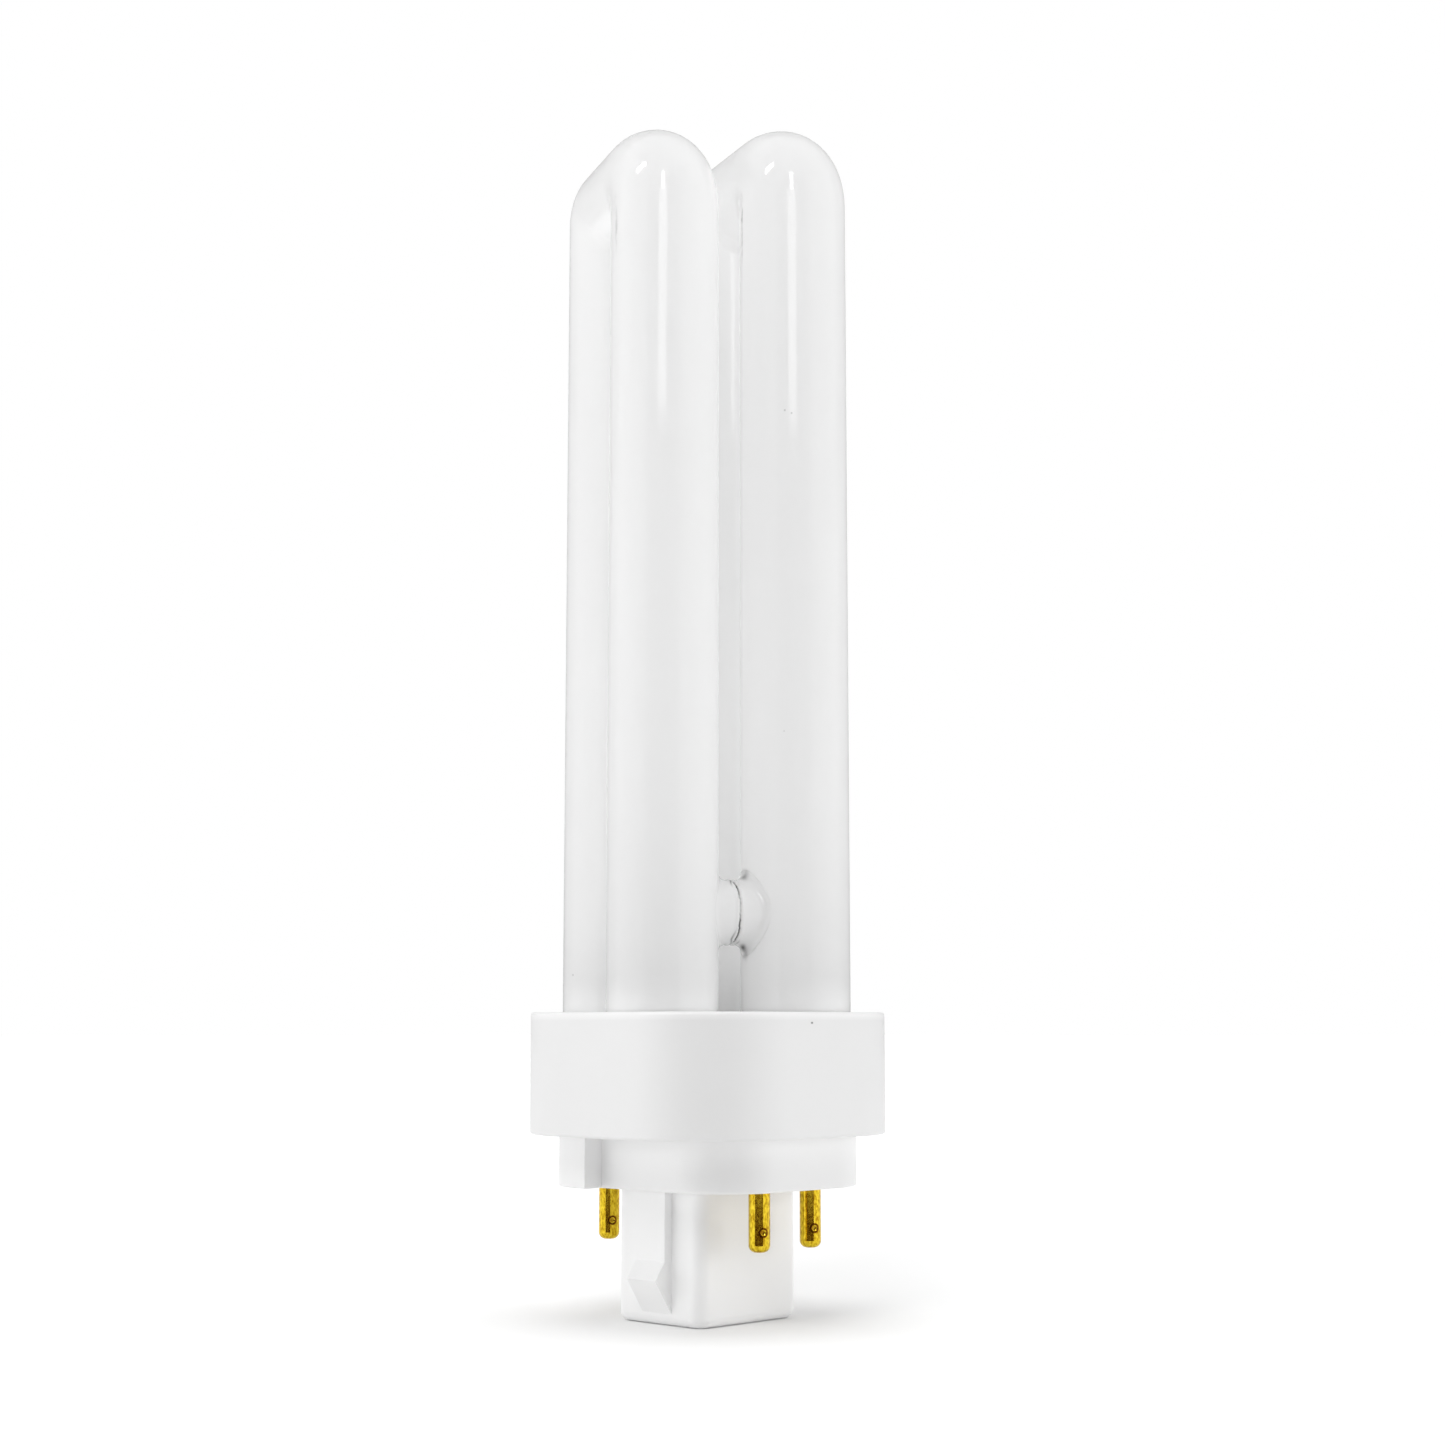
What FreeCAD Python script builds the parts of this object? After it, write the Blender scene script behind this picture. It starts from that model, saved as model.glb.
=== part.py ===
"""Four pin compact fluorescent lamp with two bent glass tubes on a rounded-square plug-in base.

Millimetres, +Z up. The origin is the middle of the post's foot. X runs along the short
side of the rectangle of contact pins and Y along its long side.
"""
import FreeCAD
import Part
import math
import os

Vector = FreeCAD.Vector
UP = Vector(0, 0, 1)

# Heights of the post, skirt and collar, from the foot up
POST_LENGTH = 14.3
SKIRT_HEIGHT = 5.6
COLLAR_HEIGHT = 13.2
SKIRT_BOTTOM_Z = POST_LENGTH
COLLAR_BOTTOM_Z = SKIRT_BOTTOM_Z + SKIRT_HEIGHT
COLLAR_TOP_Z = COLLAR_BOTTOM_Z + COLLAR_HEIGHT

# Glass tubes
TUBE_R = 6.0
LEG_GAP = 3.42
LEG_PITCH = 2 * TUBE_R + LEG_GAP
BUNDLE_TURN = -24.9
BUNDLE_SHIFT_X = -0.28
BUNDLE_SHIFT_Y = 0.285
RIGHT_PAIR_TURN = 4.5
FRONT_BEND_R = 4.3
REAR_BEND_R = 1.2
LEFT_TUBES_HEIGHT = 99.0
RIGHT_TUBES_HEIGHT = 101.0
LEG_END_HEIGHT = 6.1
LEG_END_ROUND = 4.5
LEG_END_Z = COLLAR_BOTTOM_Z + LEG_END_HEIGHT

# Fused bridge between the two front legs
BRIDGE_HEIGHT = 10.7
BRIDGE_HALF_HEIGHT = 3.7
BRIDGE_HALF_WIDTH = 3.5
BRIDGE_ROUND = 1.0
BRIDGE_Z = COLLAR_TOP_Z + BRIDGE_HEIGHT

# Pressed seals that carry the wires out of the two rear legs
SEAL_LENGTH = 7.0
SEAL_THICKNESS = 2.4
SEAL_DROP = 3.6
SEAL_ROUND = 0.8
SEAL_BOTTOM_Z = LEG_END_Z - SEAL_DROP

# Collar: its walls stand outside the legs by the margin
COLLAR_MARGIN = 0.58
COLLAR_CORNER = 11.2
COLLAR_WALL = 1.6
COLLAR_TOP_PLATE = 2.0
COLLAR_EDGE = 0.35
LEG_HOLE_GAP = 0.25

# Snap bars of the plug and the grooves that they sit in
SNAP_LENGTH = 10.0
SNAP_HEIGHT = 1.0
SNAP_DEPTH = 0.35
SNAP_RISE = 2.1
SNAP_GAP = 0.1

# Cement that holds the legs in the collar
CEMENT_THICKNESS = 3.0

# Contact pins and the bosses that hold them
PIN_R = 1.15
PIN_SHANK_R = 0.95
PIN_TAPER = 0.25
PIN_BORE_R = 0.6
PIN_SPACING_X = 8.0
PIN_SPACING_Y = 23.0
PIN_LENGTH = 6.2
PIN_TIP_ROUND = 0.75
PIN_NOSE = 6.6
PIN_HOLE_GAP = 0.02
PIN_STAND = 0.4
BOSS_R = 2.2
BOSS_HEIGHT = 1.9
DIMPLE_R = 0.5
DIMPLE_DEPTH = 0.25
DIMPLE_HEIGHT = 2.1
DIMPLE_TURN = 246.5
PIN_TIP_Z = SKIRT_BOTTOM_Z - PIN_LENGTH
PIN_BORE_Z = PIN_TIP_Z + PIN_NOSE

# Base cap: plug, skirt with its key side, floor and post
PLUG_GAP = 0.15
PLUG_HEIGHT = 3.7
PLUG_WALL = 1.4
PIN_EDGE = 2.25
SKIRT_WIDTH = PIN_SPACING_Y + 2 * PIN_EDGE
SKIRT_CORNER = 7.5
SKIRT_WALL = 1.3
SKIRT_EDGE = 0.25
FLOOR = 1.8
KEY_RECESS = 2.5
KEY_SIDE_Y = 5.0
POST_X = 15.4
POST_Y = 13.0
POST_CORNER = 1.5
POST_WALL = 1.4
POST_FOOT_ROUND = 1.1
PLUG_TOP_Z = COLLAR_BOTTOM_Z + PLUG_HEIGHT
FLOOR_TOP_Z = SKIRT_BOTTOM_Z + FLOOR
BOSS_TOP_Z = FLOOR_TOP_Z + BOSS_HEIGHT
PIN_TOP_Z = BOSS_TOP_Z + PIN_STAND

# Retention ribs on the post
RIB_HALF_WIDTH = 2.2
RIB_STEP = 1.1
RIB_CREST = 2.4
RIB_RAMP_Z = 6.8
RIB_CREST_Z = 4.9
RIB_END_Z = 1.3

# Lead wires
WIRE_R = 0.25
WIRE_PITCH = 3.2
WIRE_DROP = 0.7
WIRE_BEND_R = 0.6

# How far a cut runs past the face that it opens
CUT_PAST = 1.0


def turned(x, y, degrees):
    """A point turned about the upright axis."""
    cosine = math.cos(math.radians(degrees))
    sine = math.sin(math.radians(degrees))
    return Vector(x * cosine - y * sine, x * sine + y * cosine, 0)


def leg_places():
    """Upright axes of the four legs: front left, rear left, front right, rear right."""
    half = LEG_PITCH / 2
    middle = Vector(BUNDLE_SHIFT_X, BUNDLE_SHIFT_Y, 0)
    front_left = middle + turned(-half, -half, BUNDLE_TURN)
    rear_left = middle + turned(-half, half, BUNDLE_TURN)
    front_right = middle + turned(half, -half, BUNDLE_TURN)
    rear_right = front_right + turned(0, LEG_PITCH, BUNDLE_TURN + RIGHT_PAIR_TURN)
    return front_left, rear_left, front_right, rear_right


def pin_places():
    """Upright axes of the four contact pins."""
    return [Vector(side_x * PIN_SPACING_X / 2, side_y * PIN_SPACING_Y / 2, 0)
            for side_y in (-1, 1) for side_x in (-1, 1)]


def at_height(place, z):
    """The same plan position at height z."""
    return Vector(place.x, place.y, z)


def upright(place, radius, low, high):
    """An upright round bar."""
    return Part.makeCylinder(radius, high - low, at_height(place, low), UP)


def rounded_block(x_low, x_high, y_low, y_high, corner, low, high):
    """A block with its four upright edges rounded."""
    block = Part.makeBox(x_high - x_low, y_high - y_low, high - low, Vector(x_low, y_low, low))
    upright_edges = [edge for edge in block.Edges if edge.BoundBox.ZLength > (high - low) / 2]
    return block.makeFillet(corner, upright_edges)


def rounded_square(width, corner, low, high):
    """A centred square block with rounded upright edges."""
    half = width / 2
    return rounded_block(-half, half, -half, half, corner, low, high)


def level_edges(solid, z):
    """The edges that lie wholly at height z."""
    boxes = [(edge, edge.BoundBox) for edge in solid.Edges]
    return [edge for edge, box in boxes if max(abs(box.ZMin - z), abs(box.ZMax - z)) < 1e-4]


def leg(place, top):
    """A straight leg with a rounded closed end at the bottom."""
    profile = Part.Wire([
        Part.makeLine(Vector(0, 0, LEG_END_Z), Vector(TUBE_R - LEG_END_ROUND, 0, LEG_END_Z)),
        Part.Arc(
            Vector(TUBE_R - LEG_END_ROUND, 0, LEG_END_Z),
            Vector(TUBE_R - LEG_END_ROUND * (1 - math.sqrt(0.5)), 0,
                   LEG_END_Z + LEG_END_ROUND * (1 - math.sqrt(0.5))),
            Vector(TUBE_R, 0, LEG_END_Z + LEG_END_ROUND)).toShape(),
        Part.makeLine(Vector(TUBE_R, 0, LEG_END_Z + LEG_END_ROUND), Vector(TUBE_R, 0, top)),
        Part.makeLine(Vector(TUBE_R, 0, top), Vector(0, 0, top)),
        Part.makeLine(Vector(0, 0, top), Vector(0, 0, LEG_END_Z)),
    ])
    solid = Part.Face(profile).revolve(Vector(0, 0, 0), UP, 360)
    solid.translate(place)
    return solid


def elbow(place, inward, run_z, bend_r):
    """A quarter bend, from the top of a leg over to the level run of the bend.

    The bend is tighter than the tube's own radius, so only the part of the tube's
    section that lies outside the turning axis is swept.
    """
    pivot = at_height(place + inward * bend_r, run_z - bend_r)
    across = UP.cross(inward)
    half_chord = math.sqrt(TUBE_R ** 2 - bend_r ** 2)
    far_point = pivot - inward * (bend_r + TUBE_R)
    first = pivot + across * half_chord
    last = pivot - across * half_chord
    section = Part.Wire([Part.Arc(first, far_point, last).toShape(), Part.makeLine(last, first)])
    return Part.Face(section).revolve(pivot, across, 90)


def bent_pair(front, rear, top_z):
    """Two legs and the bend that joins their tops, rounder in front than behind."""
    run_z = top_z - TUBE_R
    inward = (rear - front).normalize()
    run_start = at_height(front + inward * FRONT_BEND_R, run_z)
    run_length = (rear - front).Length - FRONT_BEND_R - REAR_BEND_R
    run = Part.makeCylinder(TUBE_R, run_length, run_start, inward)
    front_elbow = elbow(front, inward, run_z, FRONT_BEND_R)
    rear_elbow = elbow(rear, -inward, run_z, REAR_BEND_R)
    pieces = [leg(rear, run_z - REAR_BEND_R), run, front_elbow, rear_elbow]
    return leg(front, run_z - FRONT_BEND_R).multiFuse(pieces).removeSplitter()


def bridge(start, end):
    """The oval neck that joins the two front legs."""
    along = (end - start).normalize()
    centre = at_height(start, BRIDGE_Z)
    side_point = centre + UP.cross(along) * BRIDGE_HALF_WIDTH
    oval = Part.Ellipse(centre + UP * BRIDGE_HALF_HEIGHT, side_point, centre)
    face = Part.Face(Part.Wire([oval.toShape()]))
    return face.extrude(end - start)


def seal(place):
    """The flat pressed end that the wires leave by."""
    half_length = SEAL_LENGTH / 2
    half_thickness = SEAL_THICKNESS / 2
    top = LEG_END_Z + LEG_END_ROUND
    block = rounded_block(-half_length, half_length, -half_thickness, half_thickness,
                          SEAL_ROUND, SEAL_BOTTOM_Z, top)
    block.translate(place)
    return block


def discharge_tube():
    """The whole glass vessel, fused into one piece."""
    front_left, rear_left, front_right, rear_right = leg_places()
    left_pair = bent_pair(front_left, rear_left, COLLAR_TOP_Z + LEFT_TUBES_HEIGHT)
    right_pair = bent_pair(front_right, rear_right, COLLAR_TOP_Z + RIGHT_TUBES_HEIGHT)
    vessel = left_pair.multiFuse([right_pair, bridge(front_left, front_right)]).removeSplitter()
    neck_edges = [edge for edge in vessel.Edges if near_bridge(edge, front_left, front_right)]
    vessel = vessel.makeFillet(BRIDGE_ROUND, neck_edges)
    return vessel.multiFuse([seal(rear_left), seal(rear_right)]).removeSplitter()


def near_bridge(edge, start, end):
    """True for the curved edges where the bridge meets the legs."""
    box = edge.BoundBox
    low = BRIDGE_Z - BRIDGE_HALF_HEIGHT - 0.01
    high = BRIDGE_Z + BRIDGE_HALF_HEIGHT + 0.01
    offset = (box.Center - (start + end) / 2).dot((end - start).normalize())
    return box.ZMin > low and box.ZMax < high and abs(offset) < LEG_PITCH / 2 - TUBE_R / 2


def collar():
    """The upper shell: four walls, a top plate with four leg holes and two snap grooves."""
    shell = rounded_square(collar_width(), COLLAR_CORNER, COLLAR_BOTTOM_Z, COLLAR_TOP_Z)
    rims = level_edges(shell, COLLAR_TOP_Z) + level_edges(shell, COLLAR_BOTTOM_Z)
    shell = shell.makeFillet(COLLAR_EDGE, rims)
    plate_z = COLLAR_TOP_Z - COLLAR_TOP_PLATE
    hollow = rounded_square(inner_width(), inner_corner(), COLLAR_BOTTOM_Z - CUT_PAST, plate_z)
    hole_r = TUBE_R + LEG_HOLE_GAP
    holes = [upright(place, hole_r, LEG_END_Z, COLLAR_TOP_Z + CUT_PAST) for place in leg_places()]
    grooves = [snap_bar(side, SNAP_GAP) for side in (-1, 1)]
    return shell.cut([hollow] + holes + grooves).removeSplitter()


def collar_width():
    """Width of the collar, which the reach of the four legs sets."""
    reach = max(max(abs(place.x), abs(place.y)) for place in leg_places())
    return 2 * (reach + TUBE_R + COLLAR_MARGIN)


def inner_width():
    """Width of the collar's hollow."""
    return collar_width() - 2 * COLLAR_WALL


def inner_corner():
    """Corner radius of the collar's hollow."""
    return COLLAR_CORNER - COLLAR_WALL


def snap_bar(side, gap):
    """A bar on one Y face of the plug, or its groove where a gap is given."""
    face_y = inner_width() / 2 - PLUG_GAP
    length = SNAP_LENGTH + 2 * gap
    height = SNAP_HEIGHT + 2 * gap
    depth = 2 * (SNAP_DEPTH + gap)
    corner = Vector(-length / 2, side * face_y - depth / 2, COLLAR_BOTTOM_Z + SNAP_RISE - height / 2)
    return Part.makeBox(length, depth, height, corner)


def tube_cement():
    """The cement cast under the collar's top plate, around the four legs."""
    top = COLLAR_TOP_Z - COLLAR_TOP_PLATE
    bottom = top - CEMENT_THICKNESS
    slab = rounded_square(inner_width(), inner_corner(), bottom, top)
    holes = [upright(place, TUBE_R, bottom - CUT_PAST, top + CUT_PAST) for place in leg_places()]
    return slab.cut(holes)


def skirt():
    """The skirt below the collar, with the key recess that leaves a lug at one corner."""
    half = SKIRT_WIDTH / 2
    low = SKIRT_BOTTOM_Z
    high = COLLAR_BOTTOM_Z
    recessed = rounded_block(KEY_RECESS - half, half, -half, half, SKIRT_CORNER, low, high)
    lug = rounded_square(SKIRT_WIDTH, SKIRT_CORNER, low, high)
    kept = Part.makeBox(half, SKIRT_WIDTH, high - low, Vector(-half, KEY_SIDE_Y, low))
    body = recessed.fuse(lug.common(kept)).removeSplitter()
    return body.makeFillet(SKIRT_EDGE, level_edges(body, SKIRT_BOTTOM_Z))


def post():
    """The solid form of the centre post, rounded at its corners and foot."""
    half_x = POST_X / 2
    half_y = POST_Y / 2
    body = rounded_block(-half_x, half_x, -half_y, half_y, POST_CORNER, 0, FLOOR_TOP_Z)
    return body.makeFillet(POST_FOOT_ROUND, level_edges(body, 0))


def rib(side):
    """A retention rib on one X face of the post: a step, a ramp out to a crest and a slope back."""
    root = POST_X / 2 - POST_WALL / 2
    face = POST_X / 2
    top = FLOOR_TOP_Z - FLOOR / 2
    outline = Part.makePolygon([
        Vector(side * root, -RIB_HALF_WIDTH, top),
        Vector(side * (face + RIB_STEP), -RIB_HALF_WIDTH, top),
        Vector(side * (face + RIB_STEP), -RIB_HALF_WIDTH, RIB_RAMP_Z),
        Vector(side * (face + RIB_CREST), -RIB_HALF_WIDTH, RIB_CREST_Z),
        Vector(side * face, -RIB_HALF_WIDTH, RIB_END_Z),
        Vector(side * root, -RIB_HALF_WIDTH, RIB_END_Z),
        Vector(side * root, -RIB_HALF_WIDTH, top),
    ])
    return Part.Face(outline).extrude(Vector(0, 2 * RIB_HALF_WIDTH, 0))


def base_cap():
    """The lower housing: plug, skirt, floor, pin bosses and hollow post with its ribs."""
    plug_width = inner_width() - 2 * PLUG_GAP
    plug_corner = inner_corner() - PLUG_GAP
    plug = rounded_square(plug_width, plug_corner, COLLAR_BOTTOM_Z, PLUG_TOP_Z)
    outside = plug.multiFuse([skirt(), post()] + [rib(side) for side in (-1, 1)])
    outside = outside.multiFuse([snap_bar(side, 0) for side in (-1, 1)]).removeSplitter()

    ledge_top = COLLAR_BOTTOM_Z + PLUG_WALL
    half = SKIRT_WIDTH / 2 - SKIRT_WALL
    skirt_hollow = rounded_block(KEY_RECESS - half, half, -half, half, SKIRT_CORNER - SKIRT_WALL,
                                 FLOOR_TOP_Z, ledge_top + CUT_PAST)
    plug_hollow = rounded_square(plug_width - 2 * PLUG_WALL, plug_corner - PLUG_WALL,
                                 ledge_top, PLUG_TOP_Z + CUT_PAST)
    post_hollow = rounded_block(POST_WALL - POST_X / 2, POST_X / 2 - POST_WALL,
                                POST_WALL - POST_Y / 2, POST_Y / 2 - POST_WALL,
                                POST_CORNER / 2, POST_WALL, FLOOR_TOP_Z + CUT_PAST)
    bosses = [upright(place, BOSS_R, FLOOR_TOP_Z - FLOOR / 2, BOSS_TOP_Z) for place in pin_places()]
    holes = [pin_shank(place, PIN_HOLE_GAP, BOSS_TOP_Z + CUT_PAST) for place in pin_places()]
    body = outside.cut([skirt_hollow, plug_hollow, post_hollow])
    return body.multiFuse(bosses).cut(holes).removeSplitter()


def pin_shank(place, gap, top):
    """A pin's taper and shank inside the base, or their hole where a gap is given."""
    seat = at_height(place, SKIRT_BOTTOM_Z)
    taper = Part.makeCone(PIN_R + gap, PIN_SHANK_R + gap, PIN_TAPER, seat, UP)
    return taper.fuse(upright(place, PIN_SHANK_R + gap, SKIRT_BOTTOM_Z + PIN_TAPER, top))


def contact_pin(place):
    """A pin with a rounded tip and a small crimp dimple near it.

    It tapers to a thinner shank where it enters the skirt, and the shank has a bore from above.
    """
    pin = upright(place, PIN_R, PIN_TIP_Z, SKIRT_BOTTOM_Z)
    pin = pin.makeFillet(PIN_TIP_ROUND, level_edges(pin, PIN_TIP_Z))
    pin = pin.fuse(pin_shank(place, 0, PIN_TOP_Z)).removeSplitter()
    bore = upright(place, PIN_BORE_R, PIN_BORE_Z, PIN_TOP_Z + CUT_PAST)
    reach = turned(PIN_R + DIMPLE_R - DIMPLE_DEPTH, 0, DIMPLE_TURN)
    dimple = Part.makeSphere(DIMPLE_R, at_height(place, PIN_TIP_Z + DIMPLE_HEIGHT) + reach)
    return pin.cut([bore, dimple])


def rounded_path(corners, radius):
    """Straight runs through the corners, with an arc at each bend."""
    edges = []
    reached = corners[0]
    for before, corner, after in zip(corners, corners[1:], corners[2:]):
        back = (before - corner).normalize()
        ahead = (after - corner).normalize()
        half_angle = back.getAngle(ahead) / 2
        setback = radius / math.tan(half_angle)
        middle = (back + ahead).normalize()
        arc_start = corner + back * setback
        arc_end = corner + ahead * setback
        arc_middle = corner + middle * (radius / math.sin(half_angle) - radius)
        edges.append(Part.makeLine(reached, arc_start))
        edges.append(Part.Arc(arc_start, arc_middle, arc_end).toShape())
        reached = arc_end
    edges.append(Part.makeLine(reached, corners[-1]))
    return Part.Wire(edges)


def lead_wire(start, pin_place):
    """A wire from an electrode seal, over to a pin and down its bore."""
    level_z = SEAL_BOTTOM_Z - WIRE_DROP
    corners = [
        at_height(start, SEAL_BOTTOM_Z),
        at_height(start, level_z),
        at_height(pin_place, level_z),
        at_height(pin_place, PIN_BORE_Z),
    ]
    path = rounded_path(corners, WIRE_BEND_R)
    section = Part.Wire([Part.makeCircle(WIRE_R, corners[0], UP)])
    return path.makePipeShell([section], True, True)


def save(name, shape):
    """Write one sub-part."""
    shape.exportStep(os.path.join("parts", name + ".step"))


def main():
    os.makedirs("parts", exist_ok=True)
    save("discharge_tube", discharge_tube())
    save("collar", collar())
    save("tube_cement", tube_cement())
    save("base_cap", base_cap())
    for number, place in enumerate(pin_places(), 1):
        save("contact_pin_%d" % number, contact_pin(place))
    rear_left, rear_right = leg_places()[1::2]
    seals = [rear_right, rear_right, rear_left, rear_left]
    for number, (seal_place, place) in enumerate(zip(seals, pin_places()), 1):
        side = math.copysign(WIRE_PITCH / 2, place.x)
        save("lead_wire_%d" % number, lead_wire(seal_place + Vector(side, 0, 0), place))


main()
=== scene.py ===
"""Looks of the four pin compact fluorescent lamp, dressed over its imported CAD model.

Metres, in the CAD frame: +Z up, origin in the middle of the post's foot, X along the short
side of the rectangle of contact pins. Shapes are worked out in millimetres and scaled at
the end, because a mesh keeps its place in its vertices.
"""

import math

import bpy
import numpy as np
from mathutils import Euler, Matrix


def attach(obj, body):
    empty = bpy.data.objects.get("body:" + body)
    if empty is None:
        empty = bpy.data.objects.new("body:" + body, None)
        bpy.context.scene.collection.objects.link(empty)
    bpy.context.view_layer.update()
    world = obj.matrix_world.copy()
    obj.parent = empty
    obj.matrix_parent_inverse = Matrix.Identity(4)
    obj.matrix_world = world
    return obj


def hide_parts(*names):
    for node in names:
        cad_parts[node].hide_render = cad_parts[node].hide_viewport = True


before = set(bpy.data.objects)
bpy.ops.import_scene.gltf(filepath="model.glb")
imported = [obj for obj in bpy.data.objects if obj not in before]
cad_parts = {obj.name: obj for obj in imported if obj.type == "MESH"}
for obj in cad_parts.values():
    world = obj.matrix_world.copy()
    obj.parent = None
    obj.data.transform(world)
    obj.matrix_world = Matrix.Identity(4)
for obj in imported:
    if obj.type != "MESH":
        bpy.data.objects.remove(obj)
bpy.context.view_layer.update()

MM = 0.001

# Glass vessel in millimetres and degrees, as the CAD source has it
TUBE_R = 6.0
LEG_PITCH = 15.42
BUNDLE_TURN = -24.9
RIGHT_PAIR_TURN = 4.5
BUNDLE_MIDDLE = np.array([-0.28, 0.285])
FRONT_BEND_R = 4.3
REAR_BEND_R = 1.2
LEFT_TOP_Z = 132.1
RIGHT_TOP_Z = 134.1
LEG_END_Z = 26.0
LEG_END_ROUND = 4.5

# Inside of a bend: its least radius, how softly that is reached, and the room between corners
CROTCH_R = 1.25
CROTCH_BLEND = 0.5
CORNER_SPARE = 0.02

# Pressed seals under the rear legs: an oval of high powers, drawn in at its foot
SEAL_BOTTOM_Z = 22.4
SEAL_SIZE = (7.0, 2.4)
SEAL_POWERS = (0.35, 0.55)
SEAL_EDGE = 0.25
SEAL_EDGE_SHARE = 0.86
SEAL_INTO_LEG = 2.0

# Fused neck between the front legs
BRIDGE_Z = 43.8
BRIDGE_R = 3.5
BRIDGE_FILLET = 1.2
SEAM_HALF_WIDTH = 0.14
SEAM_DEPTH = 0.12
SEAM_LIP = 0.07
LIP_AWAY = 2.2 * SEAM_HALF_WIDTH
LIP_HALF_WIDTH = 1.2 * SEAM_HALF_WIDTH
SEAM_WAVE = 0.055
SEAM_WAVE_REACH = 0.8
SEAM_WAVE_SEED = 11
# Past the fillet: a little on along its tangent and under the leg's surface, then well into
# the leg by two more rings
TANGENT_RUN = 0.15
TANGENT_SINK = 0.012
BURIED_RUNS = (0.5, 1.4)
BURIED_DROP = 1.2

# Dark line of the seam where the neck was fused, and painted shade in the creases beside it. A
# bell round the neck is (degrees, width in degrees, strength)
SEAM_LINE = 0.34
SEAM_LINE_LEAST = 0.1
SEAM_LINE_ROUGHNESS = 0.16
SEAM_LINE_SEED = 5
SEAM_LINE_WIDTH = 0.085
SEAM_BELLS = [(325, 22, 0.5), (226, 24, 0.9), (322, 4, 0.7), (249, 5, 0.6), (218, 5, 0.4)]
# The line is full in front, and fades to its back share just behind the top and bottom
BACK_SHARE = 0.15
FADE_AT_TOP = 0.7
FADE_SLOPE = 3
# Second strand beside the line: how far off, and its waves as (number, height)
STRAND_BELLS = [(338, 12, 0.75), (214, 20, 0.6)]
STRAND_OFFSET = 0.42
STRAND_WAVE = (7, 0.12)
STRAND_WIDTH = 0.1
# Painted shade in the creases over and under the neck: degrees, width in degrees, place along the
# neck, its width, strength, slant per degree
NECK_CREASE_SHADE = [
    (200, 9, 0.4, 0.16, 0.55, 0.0),
    (350, 9, 1.45, 0.3, 0.6, 0.0),
    (188, 10, 1.35, 0.3, 0.85, 0.012),
]

# Waves of the ragged lines round the neck
WANDER_WAVES = (2, 3, 5, 8, 13, 21, 34, 47)
WANDER_LEAST = 0.4
WANDER_FALL = 0.4

# How finely the glass is cut. The neck's rows crowd towards the seam by a power
TUBE_AROUND = 112
LEG_ROWS = 80
CORNER_ROWS = 26
LEVEL_ROWS = 14
END_ROWS = 12
NECK_AROUND = 288
NECK_ROWS = 34
NECK_CROWDING = 1.4
FILLET_ROWS = 16
SEAL_AROUND = 48

# Contact pins
PIN_RECTANGLE = (8.0, 23.0)
PIN_R = 1.15
DIMPLE_Z = 10.2
DIMPLE_TURN = 246.5

# View of the photograph
CAMERA_PLACE = (-0.18351, -0.17978, 0.03162)
CAMERA_PITCH = math.radians(7.517)
CAMERA_HEADING = math.radians(44.05)
LENS = 57.3
SENSOR = 36
CLIP_START = 0.01
TOWARDS_CAMERA = np.array([-math.cos(CAMERA_HEADING), -math.sin(CAMERA_HEADING)])
CAMERA_RIGHT = np.array([math.sin(CAMERA_HEADING), -math.cos(CAMERA_HEADING)])


def turned(x, y, degrees):
    """A plan position turned about the upright axis."""
    a = math.radians(degrees)
    return np.array([x * math.cos(a) - y * math.sin(a), x * math.sin(a) + y * math.cos(a)])


HALF_PITCH = LEG_PITCH / 2
FRONT_LEFT = BUNDLE_MIDDLE + turned(-HALF_PITCH, -HALF_PITCH, BUNDLE_TURN)
REAR_LEFT = BUNDLE_MIDDLE + turned(-HALF_PITCH, HALF_PITCH, BUNDLE_TURN)
FRONT_RIGHT = BUNDLE_MIDDLE + turned(HALF_PITCH, -HALF_PITCH, BUNDLE_TURN)
REAR_RIGHT = FRONT_RIGHT + turned(0, LEG_PITCH, BUNDLE_TURN + RIGHT_PAIR_TURN)


# Surfaces on grids

def grid_faces(rows, columns):
    """Quads of a grid that is open along its rows and closed around its columns."""
    r, c = np.meshgrid(np.arange(rows - 1), np.arange(columns), indexing="ij")
    a = r * columns + c
    b = r * columns + (c + 1) % columns
    return np.stack([a, b, b + columns, a + columns], axis=-1).reshape(-1, 4).tolist()


def closed_sleeve(rings, flip=False):
    """A sleeve of rings (rows, columns, 3) closed by a fan at each end: points and faces."""
    rows, columns = rings.shape[:2]
    ends = [rings[:1].mean(axis=1), rings[-1:].mean(axis=1)]
    points = np.concatenate([rings.reshape(-1, 3)] + ends)
    faces = grid_faces(rows, columns)
    start, end = rows * columns, rows * columns + 1
    last = (rows - 1) * columns
    faces += [[start, (c + 1) % columns, c] for c in range(columns)]
    faces += [[end, last + c, last + (c + 1) % columns] for c in range(columns)]
    if flip:
        faces = [face[::-1] for face in faces]
    return points, faces


def join_shells(shells):
    """Several (points, faces) shells as one."""
    points, faces, first = [], [], 0
    for shell_points, shell_faces in shells:
        points.append(shell_points)
        faces += [[index + first for index in face] for face in shell_faces]
        first += len(shell_points)
    return np.concatenate(points), faces


def make_piece(name, points, faces, material):
    """A smooth mesh object in metres, riding on the one body."""
    mesh = bpy.data.meshes.new(name)
    mesh.from_pydata((points * MM).tolist(), [], faces)
    mesh.validate()
    mesh.polygons.foreach_set("use_smooth", np.ones(len(mesh.polygons), bool))
    mesh.update()
    piece = bpy.data.objects.new(name, mesh)
    bpy.context.scene.collection.objects.link(piece)
    piece.data.materials.append(material)
    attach(piece, "root")
    return piece


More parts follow.
